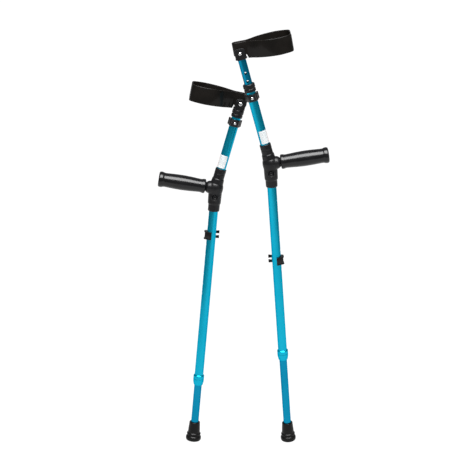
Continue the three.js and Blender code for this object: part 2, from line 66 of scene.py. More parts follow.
TIP_HEIGHT, TIP_FLOOR, LEG_TUBE_SEAT = 50, 9, 10.6
KNUCKLE_LOW, KNUCKLE_TOP, FOREARM_TUBE_TOP = -15.3, -12.3, -15.6
EAR_INSIDE, EAR_OUTSIDE = 9.9, 14.2
PIVOT_HOLE_R, PIVOT_SEAT = 3.2, 14.5
CUFF_PITCH = math.radians(4.5)
CUFF_LOW, CUFF_HIGH, CUFF_THICKNESS = -14, 26, 3.2
CUFF_REAR, CUFF_FRONT, CUFF_WIDTH = -15, 124, 88
CUFF_NECK, CUFF_MOUTH = 8, 32
CUFF_NOTCH_DEPTH, CUFF_NOTCH_FRONT, CUFF_NOTCH_EASE = 8.7, 18.2, 2.8
LABEL_LOW, LABEL_HEIGHT, LABEL_R, LABEL_THICKNESS = 53, 32, 11.32, 0.18
TUBE_SEGMENTS = 72
SETTINGS = {
    "left": {"side": 1, "leg": 667.4, "cuff": 217, "clip_hole": 1},
    "right": {"side": -1, "leg": 743.6, "cuff": 277, "clip_hole": 6},
}


# ---------------------------------------------------------------- camera

CAMERA_PLACE = Vector((-0.0135, -3.0385, 1.4712))
CAMERA_PITCH = math.radians(16.86)
CAMERA_SENSOR = 36
CAMERA_LENS = 98.4835

camera = bpy.data.objects.new("camera", bpy.data.cameras.new("camera"))
bpy.context.scene.collection.objects.link(camera)
camera.location = CAMERA_PLACE
camera.rotation_euler = (math.pi / 2 - CAMERA_PITCH, 0, 0)
camera.data.sensor_width = CAMERA_SENSOR
camera.data.lens = CAMERA_LENS
camera.data.clip_end = 50
bpy.context.scene.camera = camera


# ---------------------------------------------------------------- mesh tools

def link(mesh, name):
    obj = bpy.data.objects.new(name, mesh)
    bpy.context.scene.collection.objects.link(obj)
    return obj


def from_bmesh(bm, name, smooth_angle=35):
    bmesh.ops.recalc_face_normals(bm, faces=bm.faces)
    mesh = bpy.data.meshes.new(name)
    bm.to_mesh(mesh)
    bm.free()
    obj = link(mesh, name)
    smooth(obj, smooth_angle)
    return obj


def smooth(obj, angle):
    for polygon in obj.data.polygons:
        polygon.use_smooth = True
    obj.data.set_sharp_from_angle(angle=math.radians(angle))


def applied(obj):
    """The object with its modifiers made real."""
    dg = bpy.context.evaluated_depsgraph_get()
    mesh = bpy.data.meshes.new_from_object(obj.evaluated_get(dg))
    obj.modifiers.clear()
    old = obj.data
    obj.data = mesh
    bpy.data.meshes.remove(old)
    return obj


def removed(*objs):
    for o in objs:
        bpy.data.objects.remove(o)


def boolean(obj, other, operation):
    """Joins the other solid to this one or cuts it away, and removes the other."""
    mod = obj.modifiers.new("boolean", "BOOLEAN")
    mod.operation = operation
    mod.solver = "MANIFOLD"
    mod.object = other
    applied(obj)
    removed(other)
    return obj


def fillet(points, radius, steps=4):
    """The open polyline with each inner corner rounded to about this radius."""
    out = [points[0]]
    for before, corner, after in zip(points, points[1:], points[2:]):
        v = Vector(corner)
        to_a, to_b = Vector(before) - v, Vector(after) - v
        cut = min(radius, 0.45 * to_a.length, 0.45 * to_b.length)
        start, end = v + to_a.normalized() * cut, v + to_b.normalized() * cut
        for k in range(steps + 1):
            t = k / steps
            out.append(tuple((1 - t) ** 2 * start + 2 * t * (1 - t) * v + t * t * end))
    return out + [points[-1]]


def lathe(name, profile, segments=TUBE_SEGMENTS):
    """A solid turned about Z from (radius, height) pairs. It is closed at the axis, or on itself."""
    bm = bmesh.new()
    rings = []
    on_itself = profile[0][0] > 1e-6 and profile[-1][0] > 1e-6
    if on_itself and profile[0] == profile[-1]:
        profile = profile[:-1]
    for r, z in profile:
        if r < 1e-6:
            rings.append([bm.verts.new((0, 0, z))])
            continue
        turn = [2 * math.pi * k / segments for k in range(segments)]
        rings.append([bm.verts.new((r * math.cos(a), r * math.sin(a), z)) for a in turn])
    pairs = list(zip(rings, rings[1:]))
    if on_itself:
        pairs.append((rings[-1], rings[0]))
    for low, high in pairs:
        for k in range(segments):
            n = (k + 1) % segments
            if len(low) == 1 and len(high) > 1:
                bm.faces.new((low[0], high[n], high[k]))
            elif len(high) == 1 and len(low) > 1:
                bm.faces.new((low[k], low[n], high[0]))
            elif len(low) > 1:
                bm.faces.new((low[k], low[n], high[n], high[k]))
    return from_bmesh(bm, name)


def cylinder(radius, low, high, segments=32):
    return lathe("tool", [(0, low), (radius, low), (radius, high), (0, high)], segments)


def plate(name, outline, low, high, bevel=0.0):
    """A flat outline in X and Y pulled up Z, with its edges rounded when a bevel is given."""
    bm = bmesh.new()
    base = [bm.verts.new((x, y, low)) for x, y in outline]
    face = bm.faces.new(base)
    top = bmesh.ops.extrude_face_region(bm, geom=[face])["geom"]
    raised = [v for v in top if isinstance(v, bmesh.types.BMVert)]
    bmesh.ops.translate(bm, verts=raised, vec=(0, 0, high - low))
    obj = from_bmesh(bm, name, 40)
    if bevel:
        edged(obj, bevel)
    return obj


def moved(obj, matrix):
    obj.data.transform(matrix)
    return obj


def turn(degrees, axis):
    return Matrix.Rotation(math.radians(degrees), 4, axis)


def shift(x=0, y=0, z=0):
    return Matrix.Translation((x, y, z))


def joined(objs):
    bm = bmesh.new()
    for o in objs:
        bm.from_mesh(o.data)
    name = objs[0].name
    removed(*objs)
    return from_bmesh(bm, name)


def melted(obj, voxel, rounds):
    """The solid remeshed and relaxed, so that its corners and joints turn into moulded fillets."""
    mod = obj.modifiers.new("remesh", "REMESH")
    mod.mode = "VOXEL"
    mod.voxel_size = voxel
    applied(obj)
    mod = obj.modifiers.new("relax", "SMOOTH")
    mod.factor = 0.5
    mod.iterations = rounds
    applied(obj)
    for polygon in obj.data.polygons:
        polygon.use_smooth = True
    return obj


def arc(radius, start, end, steps):
    angles = [math.radians(start + (end - start) * k / steps) for k in range(steps + 1)]
    return [(radius * math.cos(a), radius * math.sin(a)) for a in angles]


# ---------------------------------------------------------------- frames from the record

def basis(origin, x, y, z):
    m = Matrix.Identity(4)
    for column, axis in enumerate((x, y, z)):
        for row in range(3):
            m[row][column] = axis[row] * MM
    m.translation = origin
    return m


def crutch_frames(name):
    """The crutch's own frames, from its joints. Each takes millimetres to metres in the world."""
    up = Vector(JOINTS[f"{name}_leg_length"]["axis"]).normalized()
    arm = Vector(JOINTS[f"{name}_forearm_length"]["axis"]).normalized()
    hinge = JOINTS[f"{name}_cuff_pivot"]
    across = Vector(hinge["axis"]).normalized()
    pivot = Vector(hinge["pos_m"])
    bend = pivot - arm * SETTINGS[name]["cuff"] * MM
    lower = basis(bend, across.cross(up), across, up)
    forearm = basis(bend, across.cross(arm), across, arm)
    return {
        "lower": lower,
        "forearm": forearm,
        "pivot": basis(pivot, across.cross(arm), across, arm),
        "tip": lower @ shift(z=-SETTINGS[name]["leg"]),
        "grip": lower @ Matrix.Rotation(math.pi / 2 - GRIP_TILT, 4, "Y"),
    }


# ---------------------------------------------------------------- materials

class Nodes:
    """A small helper that adds shader nodes and joins them."""

    def __init__(self, name):
        self.material = bpy.data.materials.new(name)
        self.material.use_nodes = True
        self.tree = self.material.node_tree
        self.shader = self.tree.nodes["Principled BSDF"]
        self.coords = self.tree.nodes.new("ShaderNodeTexCoord").outputs["Object"]

    def add(self, kind, inputs=(), **settings):
        node = self.tree.nodes.new(kind)
        for key, value in settings.items():
            setattr(node, key, value)
        for key, value in dict(inputs).items():
            if isinstance(value, bpy.types.NodeSocket):
                self.tree.links.new(value, node.inputs[key])
            else:
                node.inputs[key].default_value = value
        return node

    def scaled(self, x, y, z):
        return self.add(
            "ShaderNodeMapping", {"Vector": self.coords, "Scale": (x, y, z)}
        ).outputs["Vector"]

    def noise(self, scale, detail=3, vector=None):
        return self.add("ShaderNodeTexNoise", {
            "Vector": vector or self.coords,
            "Scale": scale,
            "Detail": detail,
        }).outputs["Fac"]

    def ramp(self, value, stops):
        node = self.add("ShaderNodeValToRGB", {"Fac": value})
        elements = node.color_ramp.elements
        while len(elements) < len(stops):
            elements.new(0.5)
        for element, (place, colour) in zip(elements, stops):
            element.position = place
            element.color = (*colour, 1)
        return node.outputs["Color"]

    def span(self, value, low, high, from_low=0.0, from_high=1.0):
        return self.add("ShaderNodeMapRange", {
            "Value": value,
            "From Min": from_low,
            "From Max": from_high,
            "To Min": low,
            "To Max": high,
        }).outputs["Result"]

    def math(self, operation, a, b):
        return self.add("ShaderNodeMath", {0: a, 1: b}, operation=operation).outputs[0]

    def bump(self, height, distance, strength=1.0, normal=None):
        inputs = {"Height": height, "Distance": distance, "Strength": strength}
        if normal:
            inputs["Normal"] = normal
        return self.add("ShaderNodeBump", inputs).outputs["Normal"]

    def finish(self, **inputs):
        for key, value in inputs.items():
            socket = self.shader.inputs[key.replace("_", " ")]
            if isinstance(value, bpy.types.NodeSocket):
                self.tree.links.new(value, socket)
            else:
                socket.default_value = value
        return self.material


def anodised(name, dark, light):
    """Satin anodised aluminium: fine drawn lines along the tube and a slight drift of dye."""
    n = Nodes(name)
    drawn = n.noise(900, 2, n.scaled(1, 1, 0.012))
    drift = n.noise(9, 3)
    mixed = n.math("ADD", n.math("MULTIPLY", drift, 0.7), n.math("MULTIPLY", drawn, 0.3))
    colour = n.ramp(mixed, [(0.3, dark), (0.7, light)])
    return n.finish(
        Base_Color=colour,
        Metallic=1.0,
        Specular_Tint=(0.15, 0.55, 0.65, 1),
        Roughness=n.span(drawn, 0.25, 0.33, 0.3, 0.7),
        Normal=n.bump(drawn, 0.00002, 0.5),
    )


def plastic(name, colour, rough, grain, coat=0.0, coat_rough=0.12, level=0.1):
    """Moulded plastic: fine spark texture, faint mottling and rubbed spots. grain is (scale, depth)."""
    n = Nodes(name)
    scale, depth = grain
    sparks = n.noise(scale, 2)
    mottle = n.noise(55, 4)
    worn = tuple(min(1, c * 1.7 + 0.0008) for c in colour)
    return n.finish(
        Base_Color=n.ramp(mottle, [(0.35, colour), (0.75, worn)]),
        Roughness=n.span(mottle, rough - rough / 5, rough + rough / 5, 0.3, 0.7),
        Coat_Weight=coat,
        Coat_Roughness=coat_rough,
        Specular_IOR_Level=level,
        Normal=n.bump(sparks, depth),
    )


def vinyl(name):
    """Dipped vinyl over a steel band: leather-like pebble with soft wrinkles."""
    n = Nodes(name)
    cells = n.add("ShaderNodeTexVoronoi", {
        "Vector": n.coords,
        "Scale": 620.0,
    }, feature="SMOOTH_F1").outputs["Distance"]
    waves = n.noise(38, 3)
    tint = n.ramp(waves, [(0.3, (0.0022, 0.0018, 0.0014)), (0.75, (0.0048, 0.0038, 0.0031))])
    pebble = n.bump(cells, 0.00008, 0.7)
    return n.finish(
        Base_Color=tint,
        Roughness=n.span(cells, 0.34, 0.5, 0.0, 0.8),
        Normal=n.bump(waves, 0.0006, 0.35, pebble),
        Specular_IOR_Level=0.06,
        Coat_Weight=0.22,
        Coat_Roughness=0.12,
    )


def rubber(name):
    """Black rubber with dust in its pores and scuffed spots."""
    n = Nodes(name)
    dust = n.noise(140, 5)
    scuff = n.noise(26, 4)
    tint = n.ramp(scuff, [(0.35, (0.0016, 0.0016, 0.0016)), (0.8, (0.0045, 0.0043, 0.0041))])
    return n.finish(
        Base_Color=tint,
        Roughness=n.span(scuff, 0.32, 0.46, 0.3, 0.7),
        Specular_IOR_Level=0.1,
        Coat_Weight=0.12,
        Coat_Roughness=0.14,
        Normal=n.bump(dust, 0.00008, 0.8),
    )


def plated(name):
    """Bright plated steel with faint smears."""
    n = Nodes(name)
    smear = n.noise(420, 3)
    return n.finish(
        Base_Color=n.ramp(smear, [(0.3, (0.62, 0.63, 0.64)), (0.7, (0.8, 0.8, 0.79))]),
        Metallic=1.0,
        Roughness=n.span(smear, 0.16, 0.3, 0.3, 0.7),
        Normal=n.bump(smear, 0.00002, 0.4),
    )


def sticker(name):
    """Blank label stock: pale, with faint grey bars in place of print and one red edge."""
    n = Nodes(name)
    uv = n.add("ShaderNodeUVMap", uv_map="UVMap").outputs["UV"]
    parts = n.add("ShaderNodeSeparateXYZ", {"Vector": uv})
    across, along = parts.outputs["X"], parts.outputs["Y"]
    bars = n.math("PINGPONG", n.math("MULTIPLY", along, 11.0), 0.5)
    bar = n.span(bars, 0.0, 1.0, 0.20, 0.30)
    broken = n.noise(900, 2, n.scaled(1, 1, 0.25))
    ink = n.math("MULTIPLY", bar, n.span(broken, 0.0, 1.0, 0.42, 0.55))
    left = n.math("GREATER_THAN", across, 0.16)
    right = n.math("LESS_THAN", across, 0.80)
    low = n.math("GREATER_THAN", along, 0.08)
    high = n.math("LESS_THAN", along, 0.93)
    inside = n.math("MULTIPLY", n.math("MULTIPLY", left, right), n.math("MULTIPLY", low, high))
    ink = n.math("MULTIPLY", ink, inside)
    paper = n.ramp(n.noise(60, 3), [(0.3, (0.44, 0.46, 0.465)), (0.7, (0.49, 0.50, 0.50))])
    printed = n.add("ShaderNodeMix", {
        "Factor": n.math("MULTIPLY", ink, 0.62),
        "A": paper,
        "B": (0.13, 0.18, 0.20, 1),
    }, data_type="RGBA")
    edge = n.math("GREATER_THAN", across, 0.93)
    edged = n.add("ShaderNodeMix", {
        "Factor": edge,
        "A": printed.outputs["Result"],
        "B": (0.33, 0.07, 0.065, 1),
    }, data_type="RGBA")
    return n.finish(
        Base_Color=edged.outputs["Result"],
        Roughness=n.span(broken, 0.38, 0.5),
        Coat_Weight=0.3,
        Coat_Roughness=0.2,
    )


MATERIALS = {
    "anodised_tube": anodised("teal_anodised", (0.006, 0.35, 0.52), (0.011, 0.42, 0.61)),
    "anodised_inner_tube": anodised("blue_anodised", (0.004, 0.215, 0.37), (0.008, 0.265, 0.45)),
    "moulded_plastic": plastic(
        "black_moulded", (0.0026, 0.0026, 0.003), 0.36, (1500, 0.00005), coat=0.12, level=0.2),
    "grip_plastic": plastic(
        "black_gloss_grip", (0.0014, 0.0014, 0.0017), 0.25, (700, 0.000006), coat=0.5, coat_rough=0.2),
    "cuff_vinyl": vinyl("black_vinyl"),
    "tip_rubber": rubber("black_rubber"),
    "nylon": plastic("dark_nylon", (0.02, 0.02, 0.021), 0.5, (900, 0.00003)),
    "steel": plated("bright_steel"),
    "label_paper": sticker("blank_label"),
}


def dressed(obj, slot, name, body, node, finish=None):
    """Names a piece, gives it its material, and sets it on its body in place of its CAD node."""
    obj.name = name
    obj.data.name = name
    obj.data.materials.clear()
    obj.data.materials.append(MATERIALS[finish or slot])
    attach(obj, body)
    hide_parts(node)


# ---------------------------------------------------------------- tubes

# A face of a tube counts as its round wall when its normal is this close to the radius.
ROUND_WALL_FACING = 0.94


def radial_normals(obj, arm=Vector((0, 0, 1)), swage_high=-math.inf):
    """Gives a cut tube the true normals of its round walls, so that the cuts leave no shading marks.

    The tube runs along Z below the origin and along arm above it. Its swaged end, below swage_high,
    keeps the smooth normals of its own shape.
    """
    mesh = obj.data
    own = [n.vector.copy() for n in mesh.corner_normals]
    normals = []
    for polygon in mesh.polygons:
        flat = polygon.normal
        for index in polygon.loop_indices:
            v = mesh.vertices[mesh.loops[index].vertex_index].co
            axis = Vector((0, 0, 1)) if v.z < 0 else arm
            radial = (v - axis * v.dot(axis)).normalized()
            facing = flat.dot(radial)
            if v.z < swage_high:
                normals.append(own[index])
            elif abs(facing) > ROUND_WALL_FACING:
                normals.append(radial if facing > 0 else -radial)
            else:
                normals.append(flat)
    mesh.normals_split_custom_set([tuple(n) for n in normals])


def hollow(name, bore, radius, low, high):
    """A straight tube with broken edges."""
    edge = 0.35
    return lathe(name, [
        (bore, low + edge),
        (bore + edge, low),
        (radius - edge, low),
        (radius, low + edge),
        (radius, high - edge),
        (radius - edge, high),
        (bore + edge, high),
        (bore, high - edge),
        (bore, low + edge),
    ])


def drilled(obj, places, axis_turn, reach_low, reach_high):
    """The tube with a row of pin holes across it at these heights."""
    for z in places:
        drill = cylinder(HOLE_R, reach_low, reach_high, 28)
        moved(drill, shift(z=z) @ axis_turn)
        boolean(obj, drill, "DIFFERENCE")
    return obj


def outer_tube(frames, side):
    """The bent tube: a swaged lower end with a bush pocket, a row of leg holes and a clip hole above."""
    low, high = OUTER_BOTTOM, OUTER_BOTTOM + SWAGE_HEIGHT
    wall = fillet([
        (OUTER_BORE, 0),
        (OUTER_BORE, high - 2),
        (SWAGE_POCKET_R, high - 6),
        (SWAGE_POCKET_R, low + 9),
        (10.5, low + 2),
        (10.0, low + 0.4),
        (11.2, low),
        (11.8, low + 2.0),
        (13.3, low + 9),
        (SWAGE_R, low + 14),
        (SWAGE_R, high - 14.2),
        (SWAGE_R - 0.4, high - 13.4),
        (SWAGE_R, high - 12.6),
        (SWAGE_R, high - 4.6),
        (11.4, high - 3.1),
        (OUTER_R, high - 2.4),
        (OUTER_R, high - 1),
        (OUTER_R, 0),
    ], 1.1, 6)
    lower = lathe("lower", wall + [wall[0]])
    upper = lathe("upper", [
        (OUTER_BORE, 0),
        (OUTER_R, 0),
        (OUTER_R, OUTER_TOP),
        (OUTER_BORE, OUTER_TOP),
        (OUTER_BORE, 0),
    ])
    # The two lengths meet in the elbow, which the handle bracket hides.
    to_lower = frames["lower"].inverted() @ frames["forearm"]
    leg_holes = [-OUTER_HOLE_FIRST - i * LEG_PITCH for i in range(OUTER_HOLE_COUNT)]
    drilled(lower, leg_holes, turn(90, "Y"), 0, 2 * OUTER_R)
    drilled(upper, [FOREARM_CLIP_AT], turn(-90 * side, "X"), 0, 2 * OUTER_R)
    moved(upper, to_lower)
    tube = joined([lower, upper])
    arm = to_lower.to_3x3() @ Vector((0, 0, 1))
    radial_normals(tube, arm.normalized(), high - 0.5)
    return moved(tube, frames["lower"])


def sliding_tube(length, first, pitch, count, axis_turn, reach_low):
    """An inner tube that hangs down from the origin, with its row of pin holes."""
    tube = hollow("tube", INNER_BORE, INNER_R, -length, 0)
    holes = [-first - i * pitch for i in range(count)]
    drilled(tube, holes, axis_turn, reach_low, 2 * INNER_R)
    radial_normals(tube)
    return tube


# ---------------------------------------------------------------- moulded pieces

def bracket(frames, side):
    """The handle bracket: two sleeves and the ball of the grip, cored for the tubes and melted into one."""
    lower = lathe("bracket", [
        (0, -58), (13.2, -58), (14.2, -56.6), (14.4, -41), (14.9, -39.9), (15.8, -38.8),
        (16.1, -36), (16.5, -20), (16.6, -13), (17.5, -9), (18.5, -4), (18.9, 1), (18.4, 6),
        (16.9, 10.5), (14.2, 14.4), (9, 17.4), (0, 18.6),
    ], 64)
    upper = lathe("upper", [
        (0, 0), (16.3, 0), (16.1, 8), (15.7, 14), (15.2, 20), (14.9, 23.4), (14.3, 24.5),
        (13.6, 25.1), (13.7, 36.4), (13.1, 36.9), (13.1, 37.7), (13.7, 38.2), (13.7, 48.9),
        (13.1, 50), (0, 50),
    ], 64)
    barrel = lathe("barrel", [
        (0, 0), (13.6, 4.5), (15, 8.5), (15.7, 12.5), (15.6, 16), (14.8, 19), (13.3, 21.6),
        (12, 23), (11.5, 23.8), (11.5, 24.7), (0, 24.7),
    ], 64)
    to_lower = frames["lower"].inverted()
    moved(upper, to_lower @ frames["forearm"])
    moved(barrel, to_lower @ frames["grip"])
    for other in (upper, barrel):
        boolean(lower, other, "UNION")
    across = turn(-90 * side, "X")
    at_screw = shift(z=BRACKET_SCREW_AT)
    boss = moved(cylinder(8.8, 0, 17.0, 48), at_screw @ across)
    boolean(lower, boss, "UNION")
    cuts = [
        (cylinder(BRACKET_BORE, -59, 2, 64), Matrix.Identity(4)),
        (cylinder(BRACKET_BORE, -2, 52, 64), to_lower @ frames["forearm"]),
        (cylinder(GRIP_BORE, 12.2, 26, 48), to_lower @ frames["grip"]),
        (cylinder(6.9, 13.6, 22, 48), at_screw @ across),
        (cylinder(5.1, 0, 22, 48), at_screw @ across),
        (cylinder(5.1, 0, 22, 48), at_screw @ turn(90 * side, "X")),
    ]
    for tool, place in cuts:
        boolean(lower, moved(tool, place), "DIFFERENCE")
    melted(lower, 0.6, 4)
    return moved(lower, frames["lower"])


def screw_head(seated):
    """A recessed socket screw lying along Z."""
    socket_r = 2.6
    return lathe("screw", fillet([
        (0, BRACKET_BORE), (4.8, BRACKET_BORE), (4.8, seated), (socket_r + 0.4, seated),
        (socket_r, seated - 0.4), (socket_r, seated - 2), (0, seated - 2.2),
    ], 0.5, 3), 48)


def grip(frames):
    """The hand grip: a swelling barrel between two end flanges, with a recess for its plug."""
    s = GRIP_START
    end = s + GRIP_LENGTH
    outside = fillet([
        (15.2, s), (17.4, s + 1.3), (17.9, s + 4), (17.6, s + 7.2), (16.45, s + 10.5),
        (16.35, s + 14), (16.9, s + 22), (17.9, s + 36), (18.55, s + 50), (18.7, s + 60), (18.4, s + 76),
        (17.7, s + 90), (17.3, s + 98), (17.4, s + 102), (18.8, s + 105.6), (19.25, s + 108),
        (19.25, end - 4.2), (18.2, end - 1.3), (15.4, end - 0.1),
    ], 2.4, 5)
    rod_bore = [(0, s + 106.5), (GRIP_BORE, s + 106.5), (GRIP_BORE, s)]
    plug_recess = [(10.4, end - 0.1), (9.9, end - 0.6), (9.9, end - 3.5), (0, end - 3.5)]
    return moved(lathe("grip", rod_bore + outside + plug_recess, 96), frames["grip"])


def tip(frames):
    """The rubber tip: a flared foot, a bead above it and a grooved sole."""
    outside = fillet([
        (15.2, 0), (18.0, 1.0), (19.3, 3.2), (19.6, 8.0), (19.0, 10.6), (17.4, 12.6),
        (16.1, 13.6), (15.9, 15.0), (17.0, 15.7), (17.9, 17.6), (17.4, 20.0), (16.0, 21.2),
        (15.0, 22.0), (15.2, 23.6), (14.9, 31), (13.7, 46), (13.5, 49.2), (12.8, TIP_HEIGHT),
    ], 1.2, 4)
    bore = INNER_R + GAP
    inside = [(10.2, TIP_HEIGHT), (bore, TIP_HEIGHT - 0.6), (bore, TIP_FLOOR), (0, TIP_FLOOR)]
    sole = [(0, 1.4), (6.5, 1.4), (6.9, 0), (9.2, 0), (9.6, 1.4), (11.9, 1.4), (12.3, 0)]
    return moved(lathe("tip", sole + outside + inside, 80), frames["tip"])


def collar(frames):
    """The two-tier collar at the top of the outer tube, with fine ribs around its upper tier."""
    low, high = COLLAR_LOW, COLLAR_HIGH
    outside = fillet([
        (11.6, low), (13.3, low), (13.9, low + 0.8), (13.9, low + 6.9), (13.0, low + 7.6),
        (13.0, low + 9.0), (14.25, low + 9.8), (14.25, high - 1.4), (13.1, high), (10.4, high),
    ], 0.7, 3)
    bore, rim_bore = OUTER_R + GAP, INNER_R + GAP
    inside = [
        (rim_bore, high - 0.5), (rim_bore, high - 1.4), (12.4, high - 1.4), (12.4, OUTER_TOP - 6),
        (bore, OUTER_TOP - 7), (bore, low + 0.3),
    ]
    body = lathe("collar", outside + inside + [outside[0]], 72)
    rib_plan = [(-0.35, -0.6), (0.35, -0.6), (0.35, 0.6), (-0.35, 0.6)]
    ribs = []
    for k in range(COLLAR_RIBS):
        rib = plate("rib", rib_plan, low + 11.0, high - 2.4, 0.2)
        ribs.append(moved(rib, turn(k * 360 / COLLAR_RIBS, "Z") @ shift(x=13.85)))
    return moved(joined([body] + ribs), frames["forearm"])


def clip(reach, short_arm):
    """The plan of a U-shaped clip that pushes on from +X, its straight arms at the two sides."""
    inner, outer, pad = 11.4, 14.1, 5.2
    outline = [(-reach, inner)]
    outline += arc(inner, 90, -90, 28)
    if not short_arm:
        outline += [(-reach, -inner), (-reach, -outer)]
    outline += arc(outer, -90, -45, 10)
    outline += [(inner + pad - 1, -8.6), (inner + pad, -7), (inner + pad, 7), (inner + pad - 1, 8.6)]
    outline += arc(outer, 45, 90, 10)
    outline += [(-reach, outer)]
    return outline


def leg_clip(side):
    """The leg clip: one long arm that ends in two finger prongs, and rims above and below."""
    half = LEG_CLIP_HEIGHT / 2
    body = plate("leg_clip", clip(19.5, True), -half, half)
    slot = plate("slot", [(-26, 9), (-11.5, 9), (-11.5, 20), (-26, 20)], -2.9, 2.9)
    boolean(body, slot, "DIFFERENCE")
    boolean(body, moved(cylinder(CLIP_HOLE_R, 0, 15.4, 24), turn(90, "Y")), "DIFFERENCE")
    edged(body, 0.5)
    pieces = [body]
    rim = arc(11.6, 66, -88, 24) + arc(15.4, -88, -50, 8)
    rim += [(17.4, -8.4), (18.2, -7), (18.2, 7), (17.4, 8.4)]
    rim += arc(15.4, 50, 66, 4)
    for low, high in ((half - 1.9, half + 0.3), (-half - 0.3, -half + 1.9)):
        pieces.append(plate("lip", rim, low, high, 0.6))
    prong = [(-19.6, 11.4), (-13.2, 11.4), (-13.2, 14.4), (-15.8, 17.2), (-19.6, 17.2)]
    for low, high in ((2.9, half), (-half, -2.9)):
        pieces.append(plate("prong", prong, low, high, 0.6))
    obj = joined(pieces)
    return moved(obj, turn(180, "X")) if side > 0 else obj


def forearm_clip(side):
    """The forearm clip: two equal arms with thumb lips at their ends, and a boss for the pin's head."""
    half = FOREARM_CLIP_HEIGHT / 2
    body = plate("forearm_clip", clip(9, False), -half, half)
    boolean(body, moved(cylinder(4.8, 14, 17.0, 40), turn(90, "Y")), "UNION")
    boolean(body, moved(cylinder(CLIP_HOLE_R, 0, 30, 24), turn(90, "Y")), "DIFFERENCE")
    edged(body, 0.5)
    pieces = [body]
    lip = [(-9, 11.6), (-4.6, 11.6), (-4.6, 14.0), (-6.4, 16.6), (-9, 16.6)]
    for hand in (-1, 1):
        pieces.append(plate("lip", [(x, hand * y) for x, y in lip], -half, half, 0.6))
    return moved(joined(pieces), turn(side * 90, "Z"))


def edged(obj, width):
    """Rounds the object's sharp edges."""
    mod = obj.modifiers.new("bevel", "BEVEL")
    mod.width = width
    mod.segments = 2
    mod.limit_method = "ANGLE"
    mod.angle_limit = math.radians(50)
    mod.harden_normals = False
    applied(obj)
    smooth(obj, 40)
    return obj


def headed_pin():
    """The forearm pin with its domed head, lying along Z."""
    return lathe("pin", fillet([
        (0, 9.9), (2.2, 9.9), (PIN_R, 10.4), (PIN_R, 16.9), (3.25, 16.9), (3.3, 17.6), (2.4, 18.5),
        (0, 18.8),
    ], 0.35, 3), 32)


def knuckle(frames):
    """The knuckle: a stem inside the forearm tube, a flange, and two ears that hold the cuff's neck."""
    low, top = KNUCKLE_LOW, KNUCKLE_TOP
    flange = lathe("knuckle", [
        (0, low - 30), (7.2, low - 30), (7.8, low - 29), (7.8, low), (13.7, low), (14.2, low + 0.5),
        (14.2, top - 0.4), (13.8, top), (0, top),
    ], 56)
    outline = [(-9, low), (9, low), (13, low + 6)]
    outline += [(5 + x, 3.5 + y) for x, y in arc(8, 0, 90, 8)]
    outline += [(-5 + x, 3.5 + y) for x, y in arc(8, 90, 180, 8)]
    outline += [(-13, low + 6)]
    for s in (-1, 1):
        ear = plate("ear", outline, EAR_INSIDE, EAR_OUTSIDE)
        moved(ear, turn(90, "X") if s < 0 else Matrix.Scale(-1, 4, (0, 1, 0)) @ turn(90, "X"))
        if s > 0:
            ear.data.flip_normals()
        boolean(flange, ear, "UNION")
    across = turn(-90, "X")
    boss = moved(cylinder(9.5, 13.2, 15.7, 48), across)
    boolean(flange, boss, "UNION")
    boolean(flange, moved(cylinder(5.6, EAR_OUTSIDE, 20, 40), across), "DIFFERENCE")
    boolean(flange, moved(cylinder(PIVOT_HOLE_R, -30, 30, 40), across), "DIFFERENCE")
    melted(flange, 0.42, 4)
    return moved(flange, frames["pivot"])


# ---------------------------------------------------------------- cuff

def cuff_line():
    """The band's mid-line in plan, from one front end round the back to the other."""
    neck, half = CUFF_NECK, CUFF_WIDTH / 2
    centre = CUFF_REAR + neck + CUFF_THICKNESS / 2
    knots = [
        (18, neck), (27, neck + 5), (44, half - 17), (66, half - 6), (88, half - 1.6), (103, half - 5),
        (CUFF_FRONT - 5, half - 14), (CUFF_FRONT - CUFF_THICKNESS / 2, CUFF_MOUTH / 2 + 2),
    ]
    round_back = [(centre + x, y) for x, y in arc(neck, 180, 90, 12)]
    # The straight neck has close points at its front end, where the rear notch of the lower edge begins.
    straight = [(x, neck) for x in (0, 8, 14, 15.4, 16.8, 17.6)]
    line = round_back + straight + spline(knots, 8)
    mirrored = [(x, -y) for x, y in reversed(line[1:])]
    return [Vector(p) for p in mirrored + line]


def spline(knots, steps):
    """A Catmull-Rom curve through the knots."""
    out = []
    pts = [Vector(k) for k in knots]
    for i in range(len(pts) - 1):
        a, b = pts[max(i - 1, 0)], pts[i]
        c, d = pts[i + 1], pts[min(i + 2, len(pts) - 1)]
        for k in range(steps + (1 if i == len(pts) - 2 else 0)):
            t = k / steps
            out.append(tuple(0.5 * ((2 * b) + (c - a) * t + (2 * a - 5 * b + 4 * c - d) * t * t
                                    + (3 * b - a - 3 * c + d) * t ** 3)))
    return out


def cuff_section(low, high):
    """The band's rounded section as (across, height) pairs."""
    half, corner = CUFF_THICKNESS / 2, 1.35
    section = []
    for x, z, start in (
        (half - corner, low + corner, -90),
        (half - corner, high - corner, 0),
        (-half + corner, high - corner, 90),
        (-half + corner, low + corner, 180),
    ):
        section += [(x + dx, z + dz) for dx, dz in arc(corner, start, start + 90, 4)]
    return section


def cuff_edges(x, end):
    """The heights of the band's lower and upper edge, at this x and this far from its nearer end."""
    # The corners of the front ends are rounded off a little.
    draw_in = 2.4 * max(0.0, 1 - end / 2.6) ** 2
    low, high = CUFF_LOW + draw_in, CUFF_HIGH - draw_in
    if x < CUFF_NOTCH_FRONT:
        # The rear of the lower edge is cut back so that the cuff clears the knuckle as it tilts.
        ease = min(1.0, (CUFF_NOTCH_FRONT - x) / CUFF_NOTCH_EASE)
        low = max(low, CUFF_LOW + CUFF_NOTCH_DEPTH * ease)
    return low, high


